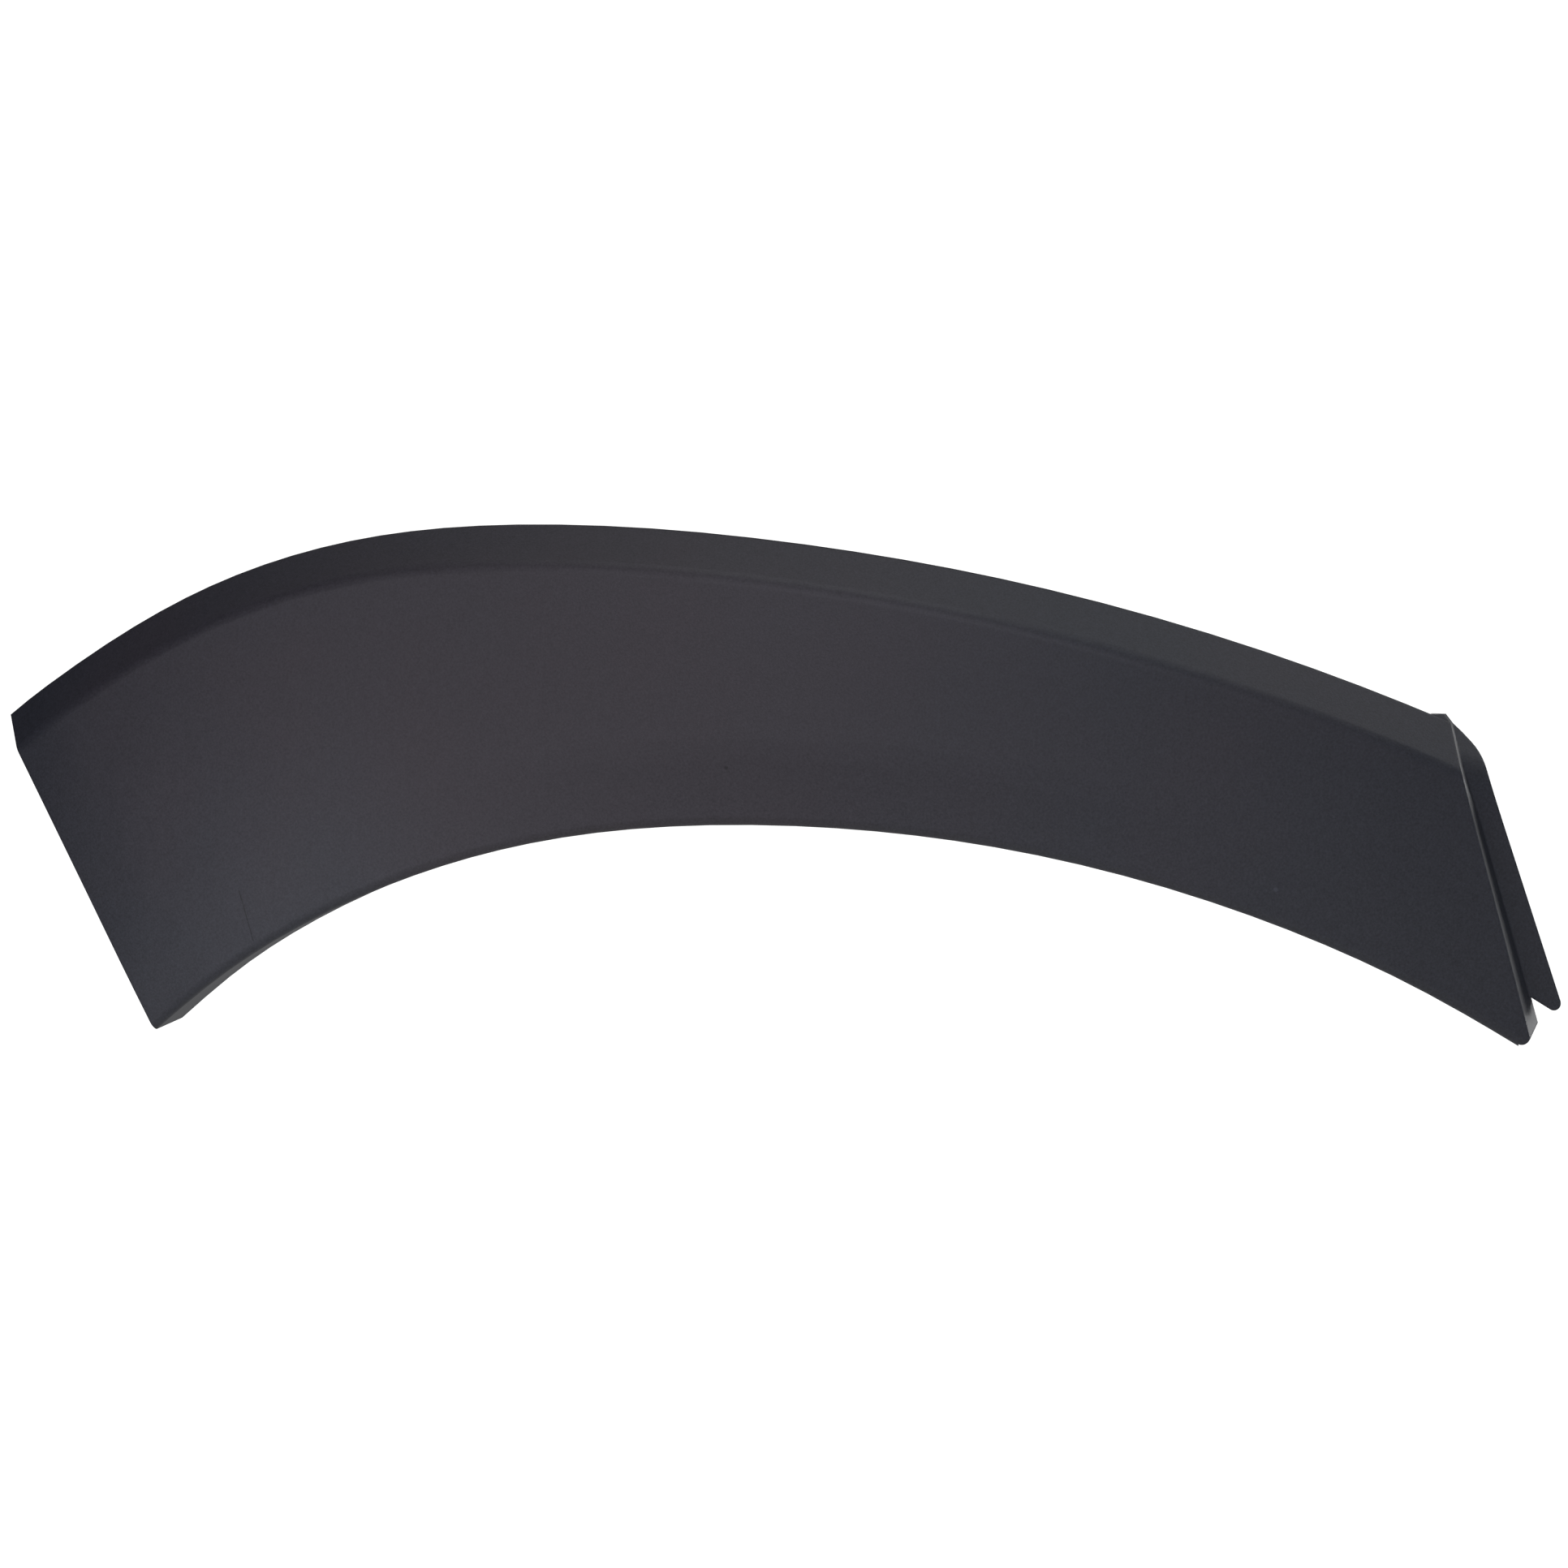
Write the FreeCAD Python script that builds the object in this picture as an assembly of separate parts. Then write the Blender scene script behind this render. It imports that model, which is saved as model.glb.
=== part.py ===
import FreeCAD, Part
import math
import os

from FreeCAD import Rotation, Vector

# Moulding over the top of a car's left rear wheel opening, between the rear door and the bumper.
# One injection-moulded piece. Millimetres. +X points to the rear of the car, +Z up, and the outer
# face looks along -Y. The origin is on the axis of the crown screw hole, at the underside of the lip.

# Lower edge in side view: a rear arc over the crown of the wheel opening and a tighter front arc,
# which meet where the edge's normal leans this far from upright.
lower_front_radius = 302.8
lower_rear_radius = 473.1
lower_arcs_meet_deg = -5.5

# Crease above the main face: two arcs that meet level at a crown of their own.
crease_crown_x = -88.9
crease_crown_z = 85.1
crease_front_radius = 276.1
crease_rear_radius = 779.7

# Cross-section of the skin, taken square to the lower edge. The band's lean and the lip's depth change
# towards the front end, slowly at first: front_change_power is the power of the way there.
wall = 2.5
screw_setback = 12.0
soft_line_height = 25.0
face_lean_deg = 6.5
soft_turn_crown_deg = 4.0
soft_turn_end_deg = 0.8
band_height = 12.9
band_lean_deg = 51.0
band_lean_front_deg = 38.0
crease_round = 6.0
soft_line_blend = 7.0
lip_round = 2.6
least_inner_round = 1.25
lip_depth = 22.0
lip_depth_front = 32.0
front_change_power = 3

# Plan view: the side of the car bows inboard, and more tightly towards the front end.
side_bow_radius = 2200.0
front_bow_start = -150.0
front_bow_radius = 900.0

# Ends: where the lower edge stops, as the turn of its normal, and how far each cut leans from
# that normal.
front_end_deg = 40.86
front_cut_skew_deg = 9.86
rear_end_deg = 31.9
rear_cut_skew_deg = 46.9
rear_tail_trim = 3.6
rear_corner_round = 3.0

# Rear end: a drafted end wall, then a set-back flange that the next moulding laps over.
end_wall_draft_deg = 17.0
end_wall_thickness = 3.3
end_wall_rise = 1.8
setback_crease = 5.5
setback_lip = 10.0
flange_reach_crease = 7.9
flange_reach_lip = 13.6
flange_above_lip = 14.0
flange_bend_round = 22.0
flange_shoulder_deg = 45.0
flange_shoulder_round = 22.0
flange_corner_round = 2.2
rear_overlap = 30.0

# Screw holes through the lip, by the turn of the lower edge's normal.
screw_hole_radius = 3.25
screw_hole_turns_deg = (-23.0, 0.0, 19.0)

# Clip seats moulded on the back of the face: a box open at one end, with a keyhole in its plate.
clip_seat_turns_deg = (-31.0, -15.0, 3.0, 17.0)
clip_seat_drop = 25.0
clip_seat_length = 26.0
clip_seat_width = 19.0
clip_seat_height = 15.0
clip_seat_wall = 2.0
clip_hole_radius = 4.5
clip_slot_width = 7.0

# How the skin is drawn: sections along the lower edge, how far they run past the ends, the most of a
# straight that a round may take, and cutting blocks that are larger than the whole part.
stations = 10
overrun_deg = 2.5
longest_round_share = 0.45
reach = lower_front_radius + lower_rear_radius


def lower_edge(turn):
    """Side-view point of the lower edge where its normal has turned this far from upright."""
    meet = math.radians(lower_arcs_meet_deg)
    on_rear = max(turn, meet)
    on_front = min(turn, meet)
    x = lower_rear_radius * math.sin(on_rear)
    z = lower_rear_radius * (math.cos(on_rear) - 1)
    x += lower_front_radius * (math.sin(on_front) - math.sin(meet))
    z += lower_front_radius * (math.cos(on_front) - math.cos(meet))
    return x, z


def hit_arcs(start, heading, offset):
    """Side-view point where a line meets the crease arcs, moved outward by offset."""
    for rear in (True, False):
        radius = (crease_rear_radius if rear else crease_front_radius) + offset
        from_centre_x = start[0] - crease_crown_x
        from_centre_z = start[1] - (crease_crown_z + offset - radius)
        along = heading[0] * from_centre_x + heading[1] * from_centre_z
        gap = from_centre_x ** 2 + from_centre_z ** 2 - radius ** 2
        run = -along + math.sqrt(along ** 2 - gap)
        point = (start[0] + run * heading[0], start[1] + run * heading[1])
        if rear == (point[0] > crease_crown_x):
            break
    return point


def height_above_lip(turn, offset):
    """Distance along the normal from the lower edge to the crease arcs moved outward by offset."""
    start = lower_edge(turn)
    point = hit_arcs(start, (math.sin(turn), math.cos(turn)), offset)
    return math.dist(start, point)


def side_bow(x):
    """How far the side of the car has curved inboard at this place along it."""
    past_start = max(front_bow_start - x, 0.0)
    return x ** 2 / (2 * side_bow_radius) + past_start ** 2 / (2 * front_bow_radius)


def end_share(turn):
    """0 at the crown and 1 at the end of the moulding on that side."""
    return min(abs(turn) / math.radians(front_end_deg if turn < 0 else rear_end_deg), 1.0)


def soft_turn(turn):
    """Angle between the two parts of the face, which fades towards the ends."""
    fade = (soft_turn_end_deg - soft_turn_crown_deg) * end_share(turn)
    return math.radians(soft_turn_crown_deg + fade)


def skin(turn, setback=0.0, rise=0.0):
    """Corners of the outer skin as (depth, height): top edge, crease, soft line, lower edge, lip rim.

    setback is the share of the flange's step, and rise lengthens the band past its top edge."""
    crease = height_above_lip(turn, 0.0)
    top = height_above_lip(turn, band_height) + rise
    heights = [top, crease, soft_line_height, 0.0]
    bows = [side_bow(lower_edge(turn)[0] + height * math.sin(turn)) for height in heights]
    lower_lean = math.radians(face_lean_deg) - soft_turn(turn)
    soft_y = soft_line_height * math.tan(lower_lean) - screw_setback
    crease_y = soft_y + (crease - soft_line_height) * math.tan(math.radians(face_lean_deg))
    frontness = end_share(turn) ** front_change_power if turn < 0 else 0.0
    band_lean = band_lean_deg + (band_lean_front_deg - band_lean_deg) * frontness
    top_y = crease_y + (top - crease) * math.tan(math.radians(band_lean))
    rim_y = lip_depth + (lip_depth_front - lip_depth) * frontness - screw_setback
    step_per_height = (setback_crease - setback_lip) / crease
    step_soft = setback_lip + step_per_height * soft_line_height
    return [
        (bows[0] + top_y + setback * setback_crease, top),
        (bows[1] + crease_y + setback * setback_crease, crease),
        (bows[2] + soft_y + setback * step_soft, soft_line_height),
        (bows[3] - screw_setback + setback * setback_lip, 0.0),
        (bows[3] + rim_y, 0.0),
    ]


def inset(corners, distance):
    """The chain of corners moved square to itself, towards the hollow side."""
    moved = []
    normals = []
    for (y0, n0), (y1, n1) in zip(corners, corners[1:]):
        length = math.hypot(y1 - y0, n1 - n0)
        normals.append(((n0 - n1) / length, (y1 - y0) / length))
    for i, (y, n) in enumerate(corners):
        before = normals[max(i - 1, 0)]
        after = normals[min(i, len(normals) - 1)]
        scale = distance / (1 + before[0] * after[0] + before[1] * after[1])
        moved.append((y + scale * (before[0] + after[0]), n + scale * (before[1] + after[1])))
    return moved


def rounded(points, rounds, place):
    """Edges through the points, with each inner corner rounded, put in space by place."""
    edges = []
    last = Vector(*points[0])
    for i in range(1, len(points) - 1):
        corner = Vector(*points[i])
        back = Vector(*points[i - 1]) - corner
        ahead = Vector(*points[i + 1]) - corner
        half = back.getAngle(ahead) / 2
        run = min(rounds[i - 1] / math.tan(half), longest_round_share * min(back.Length, ahead.Length))
        radius = run * math.tan(half)
        back.normalize()
        ahead.normalize()
        middle = corner + (back + ahead).normalize() * (radius / math.sin(half) - radius)
        first = corner + back * run
        edges.append(Part.makeLine(place(last), place(first)))
        last = corner + ahead * run
        edges.append(Part.Arc(place(first), place(middle), place(last)).toShape())
    edges.append(Part.makeLine(place(last), place(Vector(*points[-1]))))
    return edges


def station_place(turn):
    """Puts a (depth, height) point of the cross-section at this station in space."""
    x, z = lower_edge(turn)

    def place(point):
        return Vector(x + point.y * math.sin(turn), point.x, z + point.y * math.cos(turn))

    return place


def skin_rounds(turn, setback, depth):
    """Radii at the crease, the soft line and the lower edge, this deep in the wall."""
    upper_round = crease_round + setback * (flange_bend_round - crease_round)
    soft_line_round = soft_line_blend / 2 / math.tan(soft_turn(turn) / 2)
    return [max(r - depth, least_inner_round) for r in (upper_round, soft_line_round, lip_round)]


def turns():
    first = -math.radians(front_end_deg + overrun_deg)
    last = math.radians(rear_end_deg + overrun_deg)
    return [first + (last - first) * i / (stations - 1) for i in range(stations)]


def layer(turn, setback, depth, rise=0.0):
    """Corners and radii of the skin, this deep in the wall."""
    return inset(skin(turn, setback, rise), depth), skin_rounds(turn, setback, depth)


def loft(chains_at):
    """A solid through one closed section per station: two rounded chains joined at their ends."""
    wires = []
    for turn in turns():
        place = station_place(turn)
        (outer, outer_rounds), (inner, inner_rounds) = chains_at(turn)
        edges = rounded(outer, outer_rounds, place)
        edges.append(Part.makeLine(place(Vector(*outer[-1])), place(Vector(*inner[-1]))))
        edges += rounded(inner[::-1], inner_rounds[::-1], place)
        edges.append(Part.makeLine(place(Vector(*inner[0])), place(Vector(*outer[0]))))
        wires.append(Part.Wire(edges))
    return Part.makeLoft(wires, True, False)


def skin_wall(setback):
    """The moulded wall, with the face set back by this share of the flange's step."""
    return loft(lambda turn: (layer(turn, setback, 0.0), layer(turn, setback, wall)))


def step_web():
    """What fills the step between the face and the flange, from mid-wall to mid-wall, without the lip."""

    def chains_at(turn):
        chains = [layer(turn, setback, wall / 2, end_wall_rise) for setback in (0.0, 1.0)]
        return [(corners[:-1], rounds[:-1]) for corners, rounds in chains]

    return loft(chains_at)


def hollow():
    """The space behind the middle of the wall, which trims what stands on the back."""

    def chains_at(turn):
        front = layer(turn, 0.0, wall / 2)
        back = [(reach, front[0][0][1]), (reach, front[0][-1][1])]
        return front, (back, [])

    return loft(chains_at)


def beyond(point, normal):
    """Everything on the side of a plane that its normal points to."""
    block = Part.makeBox(2 * reach, 2 * reach, 2 * reach, Vector(-reach, -reach, 0))
    block.Placement = FreeCAD.Placement(point, Rotation(Vector(0, 0, 1), normal))
    return block


def side_view_prism(edges):
    """A closed side-view outline carried through the whole depth of the part."""
    face = Part.Face(Part.Wire(edges))
    return face.extrude(Vector(0, 2 * reach, 0))


def in_side_view(point):
    return Vector(point.x, -reach, point.y)


def corner_cutter(corner, back, ahead, radius):
    """What a rounded corner takes off, for a corner between two headings in side view."""
    outside = corner - (back + ahead) * radius
    start = corner + back * radius / math.tan(back.getAngle(ahead) / 2)
    end = corner + ahead * radius / math.tan(back.getAngle(ahead) / 2)
    bisector = (back + ahead).normalize()
    middle = corner + bisector * radius * (1 / math.sin(back.getAngle(ahead) / 2) - 1)
    points = [in_side_view(p) for p in (start, middle, end, outside)]
    arc = Part.Arc(points[0], points[1], points[2]).toShape()
    return side_view_prism([arc, Part.makeLine(points[2], points[3]), Part.makeLine(points[3], points[0])])


def normal_and_tangent(turn):
    """Side-view headings of the lower edge: outward from the wheel, and towards the rear."""
    return Vector(math.sin(turn), math.cos(turn), 0), Vector(math.cos(turn), -math.sin(turn), 0)


def front_cut():
    """All that lies past the straight cut beside the door."""
    turn = -math.radians(front_end_deg)
    x, z = lower_edge(turn)
    _, rearward = normal_and_tangent(turn + math.radians(front_cut_skew_deg))
    return beyond(Vector(x, 0, z), Vector(-rearward.x, 0, -rearward.y))


def rear_cut_line():
    """Side-view corner, crease and top of the rear end."""
    turn = math.radians(rear_end_deg)
    corner = lower_edge(turn)
    lean = turn - math.radians(rear_cut_skew_deg)
    heading = (math.sin(lean), math.cos(lean))
    return corner, hit_arcs(corner, heading, 0.0), hit_arcs(corner, heading, band_height)


def on_skin(point, corner_index):
    """The skin's corner line in space at a side-view point that lies on it."""
    turn = math.atan2(point[0], point[1] + lower_rear_radius)
    return Vector(point[0], skin(turn)[corner_index][0], point[1])


def rear_planes():
    """The two drafted planes of the rear end: one across the face, one across the band."""
    corner, crease, top = rear_cut_line()
    low = on_skin(corner, 3)
    middle = on_skin(crease, 1)
    high = on_skin(top, 0)
    planes = []
    for start, end in ((low, middle), (middle, high)):
        along = (end - start).normalize()
        rearward = Vector(1, 0, 0) - along * along.x
        rearward.normalize()
        inward = along.cross(rearward)
        slope = inward + rearward * math.tan(math.radians(end_wall_draft_deg))
        planes.append((middle, along.cross(slope).normalize()))
    return [(point, normal if normal.x > 0 else normal * -1) for point, normal in planes]


def rear_cuts():
    """All that lies past the rear end: behind its two planes, past the tail, and the rounded corner."""
    turn = math.radians(rear_end_deg) - rear_tail_trim / lower_rear_radius
    normal, rearward = normal_and_tangent(turn)
    corner = Vector(*lower_edge(turn))
    tail = beyond(Vector(corner.x, 0, corner.y), Vector(rearward.x, 0, rearward.y))
    cuts = [beyond(point, plane_normal) for point, plane_normal in rear_planes()]
    return cuts + [tail, corner_cutter(corner, normal, rearward * -1, rear_corner_round)]


def rearward_of(distance):
    """Everything that lies rearward of a surface this far inside the end wall's outer side."""
    shift = Vector(-distance, 0, 0)
    face_side, band_side = [beyond(point + shift, normal) for point, normal in rear_planes()]
    return face_side.fuse(band_side)


def flange_outline():
    """Side-view outline of the rear flange: shoulder, outer edge and the edge above the lip."""
    corner, crease, top = rear_cut_line()
    outer_high = Vector(crease[0] + flange_reach_crease, crease[1], 0)
    outer_low = Vector(corner[0] + flange_reach_lip, corner[1], 0)
    outer = (outer_low - outer_high).normalize()
    shoulder_turn = math.radians(flange_shoulder_deg)
    slope = Vector(math.cos(shoulder_turn), -math.sin(shoulder_turn), 0)
    start = Vector(top[0], top[1], 0)
    gap = outer_high - start
    run = (gap.x * outer.y - gap.y * outer.x) / (slope.x * outer.y - slope.y * outer.x)
    shoulder = start + slope * run
    normal, rearward = normal_and_tangent(math.radians(rear_end_deg))
    low = Vector(corner[0], corner[1], 0) + normal * flange_above_lip
    gap = low - outer_high
    run = (gap.x * rearward.y - gap.y * rearward.x) / (outer.x * rearward.y - outer.y * rearward.x)
    toe = outer_high + outer * run
    inner_low = toe - rearward * rear_overlap
    inner_high = start - slope * rear_overlap
    points = [(p.x, p.y) for p in (inner_high, shoulder, toe, inner_low)]
    edges = rounded(points, [flange_shoulder_round, flange_corner_round], in_side_view)
    edges.append(Part.makeLine(in_side_view(inner_low), in_side_view(inner_high)))
    return side_view_prism(edges)


def clip_seat(turn, room):
    """A box that stands on the back of the face, open towards the front, with a keyhole in its plate."""
    crease = height_above_lip(turn, 0.0)
    height = crease - clip_seat_drop
    ridge, soft = [Vector(*p) for p in skin(turn)[1:3]]
    share = (height - soft.y) / (ridge.y - soft.y)
    plate_y = soft.x + share * (ridge.x - soft.x) + clip_seat_height
    half_length = clip_seat_length / 2
    half_width = clip_seat_width / 2
    depth = 2 * clip_seat_height
    box = Part.makeBox(clip_seat_length, depth, clip_seat_width, Vector(-half_length, -depth, -half_width))
    inside_corner = Vector(-half_length, -depth, -half_width) + Vector(-1, -1, 1) * clip_seat_wall
    inside = Part.makeBox(clip_seat_length, depth, clip_seat_width - 2 * clip_seat_wall, inside_corner)
    slot = Part.makeBox(clip_seat_length, depth, clip_slot_width,
                        Vector(-clip_seat_length, -depth / 2, -clip_slot_width / 2))
    hole = Part.makeCylinder(clip_hole_radius, depth, Vector(0, -depth / 2, 0), Vector(0, 1, 0))
    seat = box.cut([inside, slot, hole])
    x, z = lower_edge(turn)
    seat.Placement = FreeCAD.Placement(
        Vector(x + height * math.sin(turn), plate_y, z + height * math.cos(turn)),
        Rotation(Vector(0, 1, 0), math.degrees(turn)))
    return seat.common(room)


def screw_hole(turn):
    """A bore through the lip, from one wall below it to one wall above it."""
    x, z = lower_edge(turn)
    axis = Vector(math.sin(turn), 0, math.cos(turn))
    start = Vector(x, side_bow(x), z) - axis * wall
    return Part.makeCylinder(screw_hole_radius, 3 * wall, start, axis)


def quarter_panel_moulding():
    past_rear = rear_cuts()
    shell = skin_wall(0.0).cut([front_cut()] + past_rear)
    end_wall = step_web().cut(past_rear).common(rearward_of(end_wall_thickness))
    flange = skin_wall(1.0).common(flange_outline()).common(rearward_of(end_wall_thickness / 2))
    room = hollow()
    seats = [clip_seat(math.radians(turn), room) for turn in clip_seat_turns_deg]
    holes = [screw_hole(math.radians(turn)) for turn in screw_hole_turns_deg]
    return shell.fuse([end_wall, flange] + seats).cut(holes).removeSplitter()


os.makedirs("parts", exist_ok=True)
moulding = quarter_panel_moulding()
moulding.exportStep("parts/quarter_panel_moulding.step")
box = moulding.BoundBox
print("solids", len(moulding.Solids), "valid", moulding.isValid())
print("volume cm3", round(moulding.Volume / 1000, 1))
print("size", round(box.XLength, 1), round(box.YLength, 1), round(box.ZLength, 1))
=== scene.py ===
import math

import bpy
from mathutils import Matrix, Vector


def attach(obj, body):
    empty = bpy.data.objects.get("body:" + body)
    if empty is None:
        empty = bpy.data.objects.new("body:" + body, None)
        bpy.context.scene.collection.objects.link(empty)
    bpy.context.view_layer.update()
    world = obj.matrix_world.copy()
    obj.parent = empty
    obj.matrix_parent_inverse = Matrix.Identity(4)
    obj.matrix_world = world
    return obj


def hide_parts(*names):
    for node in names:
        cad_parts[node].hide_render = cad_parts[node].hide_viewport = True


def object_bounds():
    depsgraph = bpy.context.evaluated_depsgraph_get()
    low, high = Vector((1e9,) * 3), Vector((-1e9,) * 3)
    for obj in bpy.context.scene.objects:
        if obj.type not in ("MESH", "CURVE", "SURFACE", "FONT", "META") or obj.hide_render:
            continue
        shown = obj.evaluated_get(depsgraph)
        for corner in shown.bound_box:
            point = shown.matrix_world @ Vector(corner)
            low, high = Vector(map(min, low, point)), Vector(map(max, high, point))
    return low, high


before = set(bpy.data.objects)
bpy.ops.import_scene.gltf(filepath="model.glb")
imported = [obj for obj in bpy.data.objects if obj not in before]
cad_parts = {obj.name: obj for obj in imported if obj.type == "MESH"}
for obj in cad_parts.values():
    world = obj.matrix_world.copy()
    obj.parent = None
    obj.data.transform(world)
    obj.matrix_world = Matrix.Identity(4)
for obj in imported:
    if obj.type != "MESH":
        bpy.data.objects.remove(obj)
cad_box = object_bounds()

# The moulding is one injection-moulded piece of dark grey polypropylene, unpainted.
# Its skin has a fine even grain and a soft, dull sheen, as an etched tool leaves it.
# It is clipped to the car's side, and its edges and face carry a few small marks.
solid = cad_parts["quarter_panel_moulding"]
skin = solid.data.copy()
skin.shade_smooth()
moulding = bpy.data.objects.new("moulding", skin)
bpy.context.scene.collection.objects.link(moulding)

# The end wall's tip is drawn out to a point: its top rises from just under the band's upper edge
# to the rear corner. Places are measured along that edge, an arc about band_centre, from the crown back.
band_centre = Vector((-0.0889, -0.6946))
band_top_radius = 0.7926
tip_zone_start = 0.2
tip_least_rise = 0.0004
tip_front = 0.3143
tip_length = 0.0043
tip_foot_rise = -0.0006
tip_peak_rise = 0.0013
tip_shift = 0.0026
for corner in skin.vertices:
    outward = corner.co.xz - band_centre
    rise = outward.length - band_top_radius
    if corner.co.x > tip_zone_start and rise > tip_least_rise:
        along_band = math.atan2(outward.x, outward.y) * band_top_radius
        share = min(max((along_band - tip_front) / tip_length, 0.0), 1.0)
        new_rise = tip_foot_rise + (tip_peak_rise - tip_foot_rise) * share
        angle = (along_band - tip_shift) / band_top_radius
        reach = band_top_radius + new_rise
        corner.co.xz = band_centre + Vector((math.sin(angle), math.cos(angle))) * reach


class Shade:
    """One socket of a material; arithmetic on it adds Math nodes to the material."""

    def __init__(self, tree, socket=None):
        self.tree = tree
        self.socket = socket

    def node(self, kind, settings, inputs, output=0):
        """Adds a node, sets its settings first, then gives its sockets values or links."""
        made = self.tree.nodes.new(kind)
        for name, setting in settings.items():
            setattr(made, name, setting)
        for name, value in inputs.items():
            if isinstance(value, Shade):
                self.tree.links.new(value.socket, made.inputs[name])
            else:
                made.inputs[name].default_value = value
        return Shade(self.tree, made.outputs[output] if made.outputs else None)

    def maths(self, operation, first, second):
        return self.node("ShaderNodeMath", {"operation": operation}, {0: first, 1: second})

    def __add__(self, other):
        return self.maths("ADD", self, other)

    def __sub__(self, other):
        return self.maths("SUBTRACT", self, other)

    def __rsub__(self, other):
        return self.maths("SUBTRACT", other, self)

    def __mul__(self, other):
        return self.maths("MULTIPLY", self, other)

    __radd__ = __add__
    __rmul__ = __mul__


plastic = bpy.data.materials.new("textured_plastic")
plastic.use_nodes = True
plastic.node_tree.nodes.clear()
start = Shade(plastic.node_tree)
place = start.node("ShaderNodeTexCoord", {}, {}, output="Object")
side_x = start.node("ShaderNodeSeparateXYZ", {}, {"Vector": place}, output="X")
side_z = start.node("ShaderNodeSeparateXYZ", {}, {"Vector": place}, output="Z")

# Etched grain: pits under a millimetre apart, over a coarser mottle.
# The grain's noise is turned out of line with the face, so that it is even all over.
noise_mean = 0.5
grain_spacing = 0.0007
grain_depth = 0.00004
grain_turn = (0.6, 0.4, 0.9)
mottle_spacing = 0.0035
turned_place = start.node("ShaderNodeMapping", {}, {"Vector": place, "Rotation": grain_turn})
grain = start.node("ShaderNodeTexNoise", {}, {
    "Vector": turned_place, "Scale": 1 / grain_spacing, "Detail": 2.0, "Roughness": 0.55}) - noise_mean
mottle = start.node("ShaderNodeTexNoise", {}, {
    "Vector": place, "Scale": 1 / mottle_spacing, "Detail": 3.0, "Roughness": 0.6}) - noise_mean

# Slow drift in tone and hue over the skin.
drift_spacing = 0.09
drift = start.node("ShaderNodeTexNoise", {}, {
    "Vector": place, "Scale": 1 / drift_spacing, "Detail": 3.0, "Roughness": 0.5}) - noise_mean

# Edges rubbed a little paler and smoother, in patches: where the rounded normal leaves the plain one.
edge_round = 0.0012
rub_start = 0.995
rub_full = 0.85
rub_strength = 0.8
rub_patchiness = 1.4
plain_normal = start.node("ShaderNodeNewGeometry", {}, {}, output="Normal")
edge_normal = start.node("ShaderNodeBevel", {"samples": 4}, {"Radius": edge_round})
edge_agreement = start.node("ShaderNodeVectorMath", {"operation": "DOT_PRODUCT"}, {
    0: plain_normal, 1: edge_normal}, output="Value")
near_edge = start.node("ShaderNodeMapRange", {"interpolation_type": "SMOOTHSTEP"}, {
    "Value": edge_agreement, "From Min": rub_start, "From Max": rub_full})
rubbed = near_edge * (mottle * rub_patchiness + rub_strength)

# Marks on the outer face, as (x, z, radius, change in tone): two dark dots, a dull spot and a pale speck.
outer_limit = -0.5
spot_core = 0.3
facing = start.node("ShaderNodeSeparateXYZ", {}, {"Vector": plain_normal}, output="Y")
outer_side = start.maths("LESS_THAN", facing, outer_limit)
side_view = start.node("ShaderNodeVectorMath", {"operation": "MULTIPLY"}, {0: place, 1: (1, 0, 1)})
marked = 0.0
for x, z, radius, change in (
        (-0.0130, 0.0190, 0.0009, -0.5),
        (0.2305, -0.0213, 0.0014, -0.16),
        (0.2245, -0.0413, 0.0020, -0.07),
        (0.1669, -0.0185, 0.0010, 0.75)):
    gap = start.node("ShaderNodeVectorMath", {"operation": "DISTANCE"}, {
        0: side_view, 1: (x, 0, z)}, output="Value")
    spot = start.node("ShaderNodeMapRange", {"interpolation_type": "SMOOTHSTEP"}, {
        "Value": gap, "From Min": radius, "From Max": radius * spot_core})
    marked = marked + spot * outer_side * change

# A hairline scratch low on the face near the front end, broken here and there.
scratch_top = (-0.1828, -0.0254)
scratch_foot = (-0.1770, -0.0433)
scratch_half_width = 0.00035
scratch_depth = 0.00004
scratch_wobble = 0.0008
scratch_taper_start = 0.9
scratch_lost = -0.25
scratch_whole = 0.05
scratch_slope = (scratch_foot[0] - scratch_top[0]) / (scratch_foot[1] - scratch_top[1])
scratch_half_height = (scratch_top[1] - scratch_foot[1]) / 2
scratch_middle = (scratch_top[1] + scratch_foot[1]) / 2
off_line = side_x - (side_z - scratch_top[1]) * scratch_slope - scratch_top[0] + mottle * scratch_wobble
across = start.maths("ABSOLUTE", off_line, 0)
on_line = start.node("ShaderNodeMapRange", {"interpolation_type": "SMOOTHSTEP"}, {
    "Value": across, "From Min": scratch_half_width, "From Max": 0.0})
along = start.maths("ABSOLUTE", side_z - scratch_middle, 0)
between_ends = start.node("ShaderNodeMapRange", {"interpolation_type": "SMOOTHSTEP"}, {
    "Value": along, "From Min": scratch_half_height, "From Max": scratch_half_height * scratch_taper_start})
unbroken = start.node("ShaderNodeMapRange", {"interpolation_type": "SMOOTHSTEP"}, {
    "Value": mottle, "From Min": scratch_lost, "From Max": scratch_whole})
scratch = on_line * between_ends * unbroken * outer_side

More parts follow.
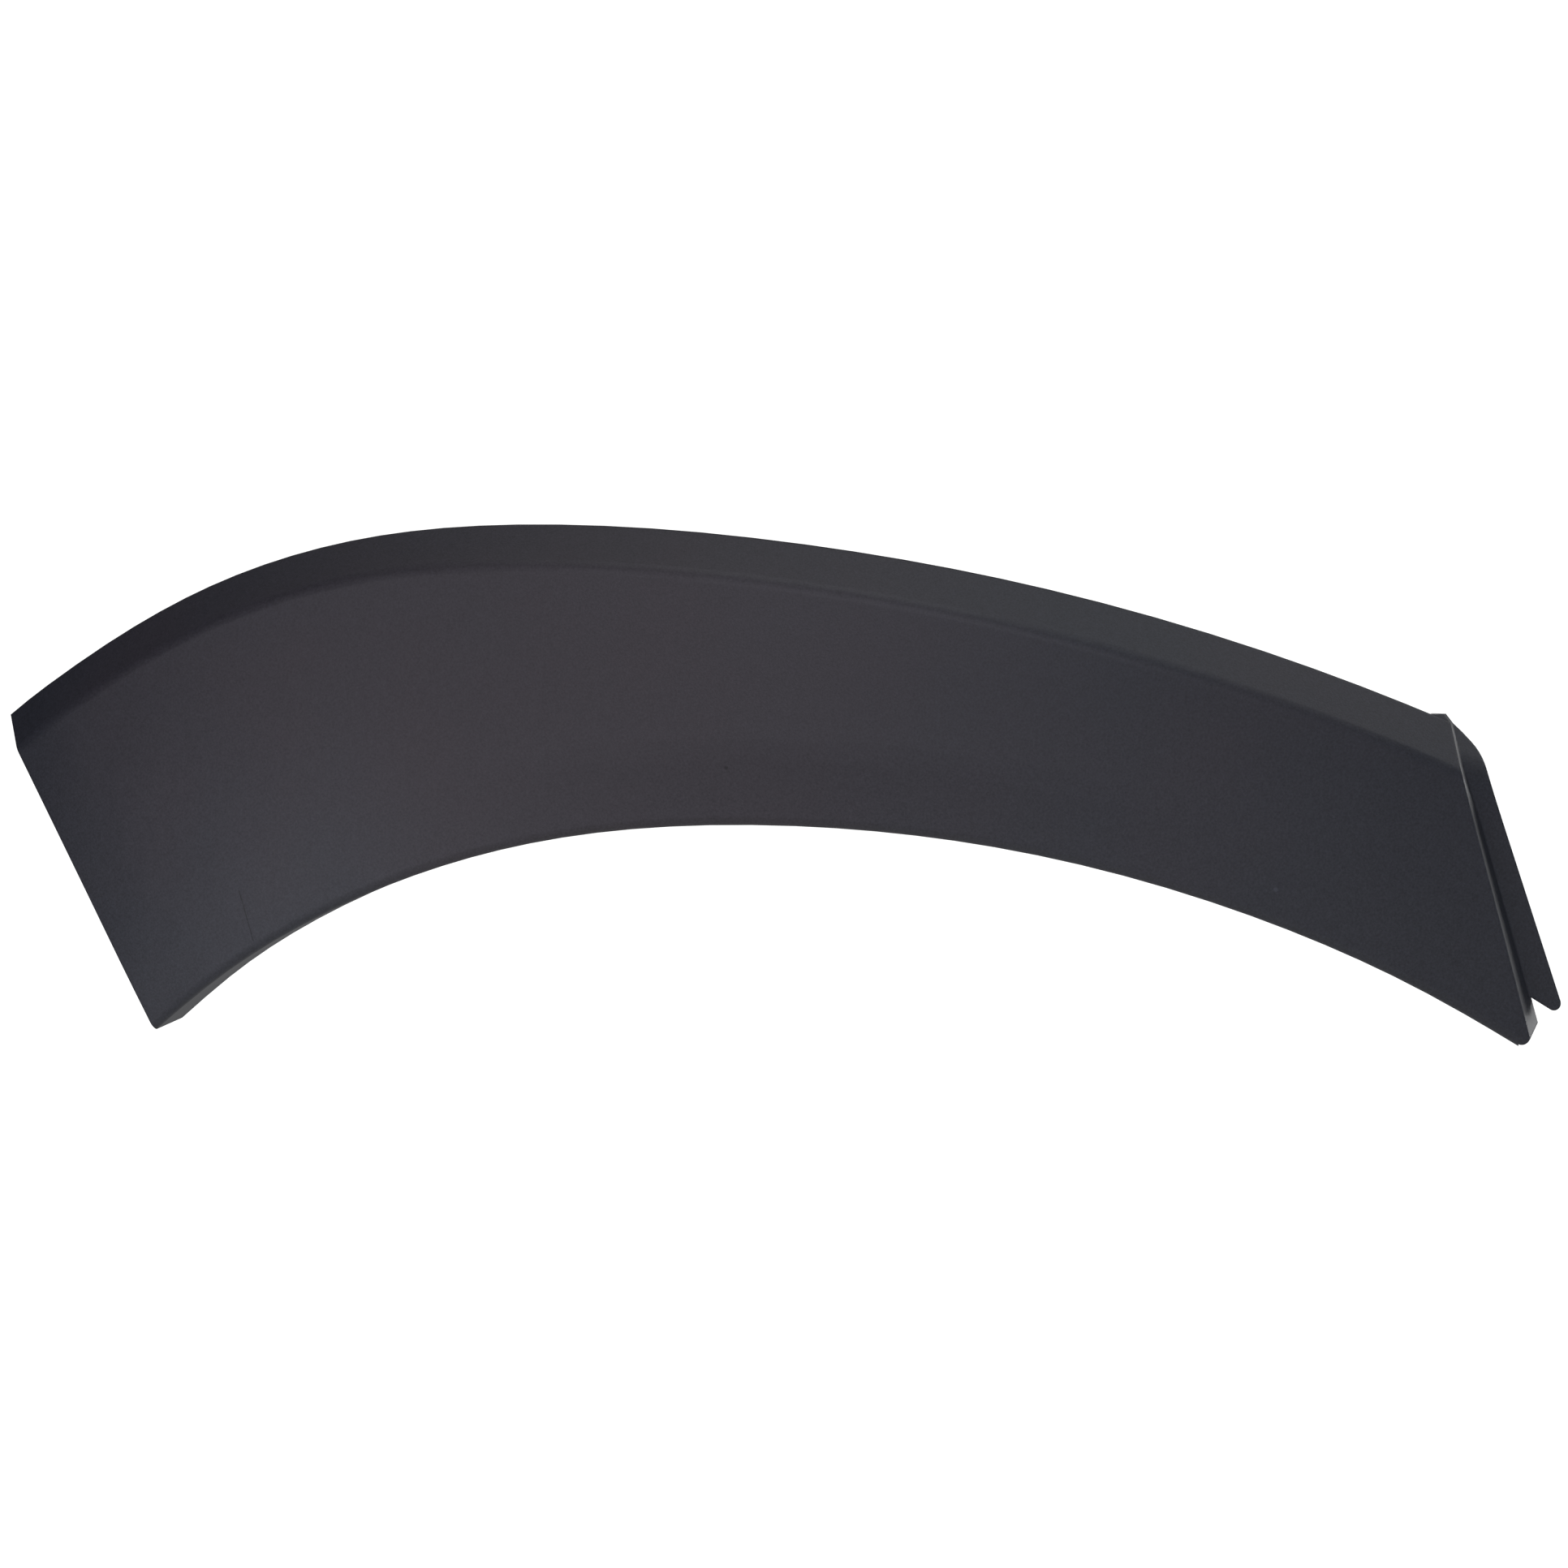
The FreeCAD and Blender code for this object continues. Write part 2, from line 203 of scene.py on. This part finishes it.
# Near the front end the face rolls away a little above the foot, with soft waves beside it.
front_foot = (-0.2144, -0.0746)
front_lean = math.radians(31)
roll_width = 0.026
roll_depth = 0.0012
roll_start = 0.005
roll_full = 0.06
wave_reach = 0.09
wave_spacing = 0.02
wave_depth = 0.0005
from_foot_x = side_x - front_foot[0]
from_foot_z = side_z - front_foot[1]
from_edge = from_foot_x * math.cos(front_lean) + from_foot_z * math.sin(front_lean)
up_edge = from_foot_z * math.cos(front_lean) - from_foot_x * math.sin(front_lean)
above_foot = start.node("ShaderNodeMapRange", {"interpolation_type": "SMOOTHSTEP"}, {
    "Value": up_edge, "From Min": roll_start, "From Max": roll_full})
rolled = start.node("ShaderNodeMapRange", {}, {"Value": from_edge, "From Min": roll_width, "From Max": 0.0})
near_front = start.node("ShaderNodeMapRange", {"interpolation_type": "SMOOTHSTEP"}, {
    "Value": from_edge, "From Min": wave_reach, "From Max": 0.0})
waves = start.node("ShaderNodeTexNoise", {}, {
    "Vector": place, "Scale": 1 / wave_spacing, "Detail": 1.0, "Roughness": 0.4}) - noise_mean
front_form = waves * near_front * wave_depth - rolled * rolled * above_foot * roll_depth

# The tone runs from dark pits to pale ridges. A colour Mix node's sockets go by their places in it.
mix_factor = 0
mix_first = 6
mix_second = 7
mix_result = 2
dark = (0.0094, 0.0088, 0.0106, 1)
pale = (0.0498, 0.0466, 0.0562, 1)
plain_tone = 0.5
grain_contrast = 0.95
mottle_contrast = 0.18
drift_contrast = 0.16
rub_paleness = 0.12
scratch_darkness = 0.55
skin_tone = grain * grain_contrast + mottle * mottle_contrast + drift * drift_contrast
worn_tone = skin_tone + rubbed * rub_paleness + marked - scratch * scratch_darkness
tone = start.node("ShaderNodeMath", {"operation": "ADD", "use_clamp": True}, {0: worn_tone, 1: plain_tone})
plain_colour = start.node("ShaderNodeMix", {"data_type": "RGBA"}, {
    mix_factor: tone, mix_first: dark, mix_second: pale}, output=mix_result)

# A painted light tint: warmer in a wide oval above and ahead of the middle, where the front light's sheen
# falls, and cooler round it.
painted_cool_light_tint = (0.88, 1.00, 1.08, 1)
painted_warm_light_tint = (1.13, 0.98, 1.01, 1)
painted_light_stretch = (1, 0, 1.8)
painted_light_centre = (-0.07, 0, 0.08)
painted_light_edge = 0.22
painted_light_core = 0.02
hue_drift = 1.4
stretched_place = start.node("ShaderNodeVectorMath", {"operation": "MULTIPLY"}, {0: place, 1: painted_light_stretch})
from_painted_light_centre = start.node("ShaderNodeVectorMath", {"operation": "DISTANCE"}, {
    0: stretched_place, 1: painted_light_centre}, output="Value")
painted_warm_light_zone = start.node("ShaderNodeMapRange", {"interpolation_type": "SMOOTHSTEP"}, {
    "Value": from_painted_light_centre, "From Min": painted_light_edge, "From Max": painted_light_core})
# The hue blends the painted cool and warm light tints, shifted by the slow random drift, and multiplies the
# colour.
drift_and_painted_light_hue = start.node("ShaderNodeMix", {"data_type": "RGBA"}, {
    mix_factor: painted_warm_light_zone + drift * hue_drift, mix_first: painted_cool_light_tint, mix_second: painted_warm_light_tint}, output=mix_result)
colour = start.node("ShaderNodeMix", {"data_type": "RGBA", "blend_type": "MULTIPLY"}, {
    mix_factor: 1.0, mix_first: plain_colour, mix_second: drift_and_painted_light_hue}, output=mix_result)

# The sheen is dull, a little smoother on the rubbed edges. Heights are in metres.
plain_roughness = 0.52
drift_roughness = 0.06
grain_roughness = 0.08
rub_polish = 0.06
plastic_ior = 1.49
height = grain * grain_depth + front_form - scratch * scratch_depth
roughness = drift * drift_roughness + grain * grain_roughness - rubbed * rub_polish + plain_roughness
bump = start.node("ShaderNodeBump", {}, {
    "Strength": 1.0, "Distance": 1.0, "Height": height, "Normal": edge_normal})
surface = start.node("ShaderNodeBsdfPrincipled", {}, {
    "Base Color": colour, "Roughness": roughness, "IOR": plastic_ior, "Normal": bump})
start.node("ShaderNodeOutputMaterial", {}, {"Surface": surface})
skin.materials.clear()
skin.materials.append(plastic)
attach(moulding, "root")
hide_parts("quarter_panel_moulding")

# The floor is a round white studio bowl, whose edge rises all round in one sweep.
# Its glow is for the camera alone, so that the lights below do all the lighting.
floor_gap = 0.0005
floor_level = cad_box[0].z - floor_gap
floor_radius = 2.6
floor_glow = 1.15
sweep_radius = 1.2
sweep_steps = 16
wall_height = 3.4
ring_steps = 64
profile = []
for step in range(sweep_steps + 1):
    turn = math.pi / 2 * step / sweep_steps
    profile.append((
        floor_radius + sweep_radius * math.sin(turn), floor_level + sweep_radius * (1 - math.cos(turn))))
profile.append((floor_radius + sweep_radius, floor_level + wall_height))
points = []
for ring_radius, ring_height in profile:
    for step in range(ring_steps):
        turn = 2 * math.pi * step / ring_steps
        points.append((ring_radius * math.cos(turn), ring_radius * math.sin(turn), ring_height))
faces = [tuple(range(ring_steps))]
for ring in range(len(profile) - 1):
    for step in range(ring_steps):
        ahead = (step + 1) % ring_steps
        low = ring * ring_steps
        high = low + ring_steps
        faces.append((low + step, low + ahead, high + ahead, high + step))
floor_mesh = bpy.data.meshes.new("floor")
floor_mesh.from_pydata(points, [], faces)
floor = bpy.data.objects.new("floor", floor_mesh)
floor.visible_diffuse = False
floor.visible_glossy = False
bpy.context.scene.collection.objects.link(floor)
paper = bpy.data.materials.new("white_paper")
paper.use_nodes = True
paper.node_tree.nodes.clear()
sheet = Shade(paper.node_tree)
sheet_glow = sheet.node("ShaderNodeEmission", {}, {"Color": (1, 1, 1, 1), "Strength": floor_glow})
sheet.node("ShaderNodeOutputMaterial", {}, {"Surface": sheet_glow})
floor_mesh.materials.append(paper)

# Soft studio light: large boxes round the part, by azimuth, elevation, size, watts and tint.
# The room itself is dark, and none of the lights shows in the picture.
sky = bpy.data.worlds.new("studio")
sky.use_nodes = True
sky.node_tree.nodes["Background"].inputs["Strength"].default_value = 0.0
bpy.context.scene.world = sky
light_aim = Vector((0, 0, 0.02))
light_distance = 1.6
for name, azimuth, elevation, size, watts, tint in (
        ("high front box", -5, 25, 0.6, 6.85, (0.99, 0.97, 1.07)),
        ("left front box", -35, 3, 0.6, 3.5, (1.00, 0.97, 1.06)),
        ("right box", 70, 15, 0.6, 2.2, (0.90, 0.98, 1.08)),
        ("side box", 128, 8, 0.6, 7.5, (1.0, 1.0, 1.0)),
        ("top box", 0, 80, 0.9, 5.95, (0.98, 1.01, 1.04)),
        ("back right box", 130, 50, 0.9, 4.0, (1.0, 1.0, 1.0)),
        ("back left box", -130, 50, 0.9, 0.7, (1.0, 1.0, 1.0)),
        ("back box", 190, 20, 0.9, 8.0, (1.0, 1.0, 1.0))):
    turn = math.radians(azimuth)
    tilt = math.radians(elevation)
    away = Vector((math.sin(turn) * math.cos(tilt), -math.cos(turn) * math.cos(tilt), math.sin(tilt)))
    lamp = bpy.data.lights.new(name, "AREA")
    lamp.size = size
    lamp.color = tint
    lamp.energy = watts
    box = bpy.data.objects.new(name, lamp)
    box.location = light_aim + away * light_distance
    box.rotation_euler = away.to_track_quat("Z", "Y").to_euler()
    box.visible_camera = False
    bpy.context.scene.collection.objects.link(box)

# A small box close to the low front corner lifts its tone a little.
# It gives diffuse light only, so the skin doesn't mirror it.
low_box_place = Vector((-0.225, -0.17, -0.05))
low_box_aim = Vector((-0.215, 0.0, -0.055))
low_box_width = 0.12
low_box_height = 0.03
low_box_watts = 0.06
low_lamp = bpy.data.lights.new("low box", "AREA")
low_lamp.shape = "RECTANGLE"
low_lamp.size = low_box_width
low_lamp.size_y = low_box_height
low_lamp.energy = low_box_watts
low_box = bpy.data.objects.new("low box", low_lamp)
low_box.location = low_box_place
low_box.rotation_euler = (low_box_place - low_box_aim).to_track_quat("Z", "Y").to_euler()
low_box.visible_camera = False
low_box.visible_glossy = False
bpy.context.scene.collection.objects.link(low_box)

# The white sheet throws light back up at the lip and the lower edge.
# Three flat lights that lie just above it and face up, by x, y, length, width and watts, stand for that.
sheet_lift = 0.0002
for name, x, y, length, width, watts in (
        ("sheet under the part", 0.0, 0.0, 0.9, 0.5, 0.66),
        ("sheet in front", 0.0, -0.16, 0.8, 0.2, 0.15),
        ("sheet at the front end", -0.25, -0.2, 0.3, 0.3, 0.07)):
    lamp = bpy.data.lights.new(name, "AREA")
    lamp.shape = "RECTANGLE"
    lamp.size = length
    lamp.size_y = width
    lamp.energy = watts
    glow = bpy.data.objects.new(name, lamp)
    glow.location = (x, y, floor_level + sheet_lift)
    glow.rotation_euler = (math.pi, 0, 0)
    glow.visible_camera = False
    bpy.context.scene.collection.objects.link(glow)

# The camera stands a little to the right of the part and a little above it.
# Its lens is long and it stands well back, so the perspective is slight.
view_azimuth = math.radians(10)
view_elevation = math.radians(5)
view_distance = 1.447
view_target = Vector((0.0033, 0.006, 0.0124))
focal_length_mm = 100
sensor_width_mm = 36
view_away = Vector((
    math.sin(view_azimuth) * math.cos(view_elevation),
    -math.cos(view_azimuth) * math.cos(view_elevation),
    math.sin(view_elevation)))
lens = bpy.data.cameras.new("camera")
lens.lens = focal_length_mm
lens.sensor_width = sensor_width_mm
camera = bpy.data.objects.new("camera", lens)
camera.location = view_target + view_away * view_distance
camera.rotation_euler = view_away.to_track_quat("Z", "Y").to_euler()
bpy.context.scene.collection.objects.link(camera)
bpy.context.scene.camera = camera
bpy.context.scene.view_settings.view_transform = "Standard"
